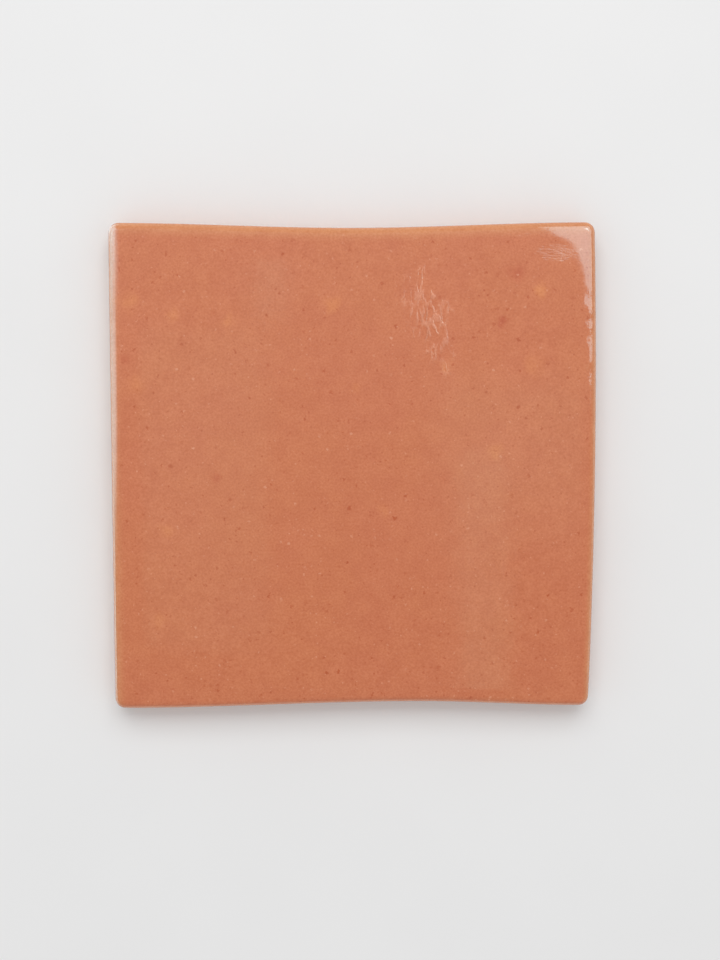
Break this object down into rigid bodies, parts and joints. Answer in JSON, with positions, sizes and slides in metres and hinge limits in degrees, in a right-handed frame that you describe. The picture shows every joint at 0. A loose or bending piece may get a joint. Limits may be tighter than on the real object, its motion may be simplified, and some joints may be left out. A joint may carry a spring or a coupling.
{
  "type": "glazed terracotta tile",
  "caption": "Square hand-made terracotta tile with a glossy crowned face, rounded edges and slightly drawn-in sides, for bedding on a wall or floor.",
  "frame": {"origin": "middle of the flat back of the tile, which is its bedding face", "axes": "+Z out of the glazed face, +Y up the face as the picture shows it, +X to the right across it"},
  "size_m": [0.1298, 0.131, 0.01],
  "materials": {
    "glazed_terracotta": "gloss"
  },
  "bodies": {
    "root": {"tile": "glazed_terracotta"}
  },
  "joints": []
}
